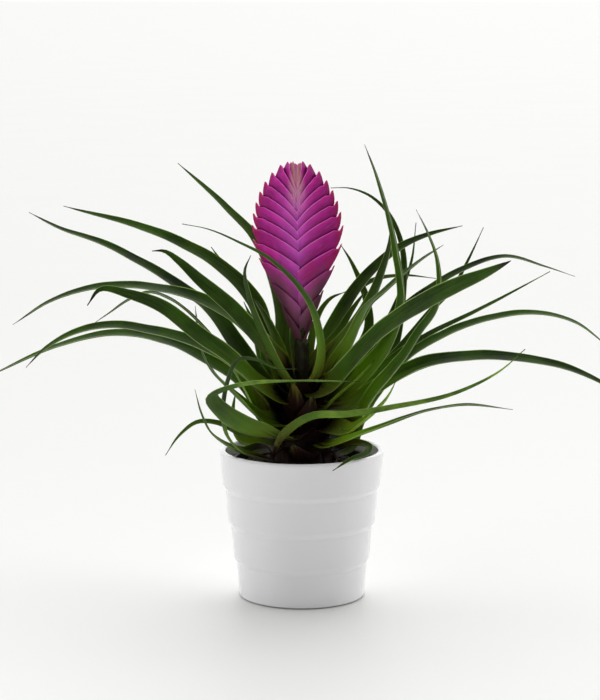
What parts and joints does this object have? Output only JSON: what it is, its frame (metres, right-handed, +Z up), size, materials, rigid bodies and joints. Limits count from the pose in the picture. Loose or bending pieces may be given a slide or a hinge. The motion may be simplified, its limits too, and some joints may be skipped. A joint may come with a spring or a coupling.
{
  "type": "potted pink quill plant",
  "caption": "Pink quill bromeliad: a rosette of narrow arching leaves round a flat plume of overlapping bracts, in a banded white cover pot.",
  "frame": {"origin": "centre of the flat underside of the cover pot, on the surface it stands on", "axes": "+Z up along the pot's axis; +X along the widest spread of the leaves; the broad face of the flower head looks along -Y"},
  "size_m": [0.4295, 0.2565, 0.3042],
  "materials": {
    "glaze": "gloss",
    "plastic": "satin",
    "mix": "matte",
    "crown": "satin",
    "stem": "satin",
    "bract": "satin",
    "leaf": "satin"
  },
  "bodies": {
    "root": {"cover_pot": "glaze", "nursery_pot": "plastic", "growing_medium": "mix", "crown": "crown", "scape": "stem", "quill": "bract", "leaf_01": "leaf", "leaf_02": "leaf", "leaf_03": "leaf", "leaf_04": "leaf", "leaf_05": "leaf", "leaf_06": "leaf", "leaf_07": "leaf", "leaf_08": "leaf", "leaf_09": "leaf", "leaf_10": "leaf", "leaf_11": "leaf", "leaf_12": "leaf", "leaf_13": "leaf", "leaf_14": "leaf", "leaf_15": "leaf", "leaf_16": "leaf", "leaf_17": "leaf", "leaf_18": "leaf", "leaf_19": "leaf", "leaf_20": "leaf", "leaf_21": "leaf", "leaf_22": "leaf", "leaf_23": "leaf", "leaf_24": "leaf", "leaf_25": "leaf", "leaf_26": "leaf", "leaf_27": "leaf", "leaf_28": "leaf", "leaf_29": "leaf", "leaf_30": "leaf", "leaf_31": "leaf", "leaf_32": "leaf", "leaf_33": "leaf", "leaf_34": "leaf", "leaf_35": "leaf", "leaf_36": "leaf", "leaf_37": "leaf", "leaf_38": "leaf", "leaf_39": "leaf", "leaf_40": "leaf", "leaf_41": "leaf", "leaf_42": "leaf", "leaf_43": "leaf", "leaf_44": "leaf", "leaf_45": "leaf", "leaf_46": "leaf", "leaf_47": "leaf", "leaf_48": "leaf", "leaf_49": "leaf"}
  },
  "joints": []
}
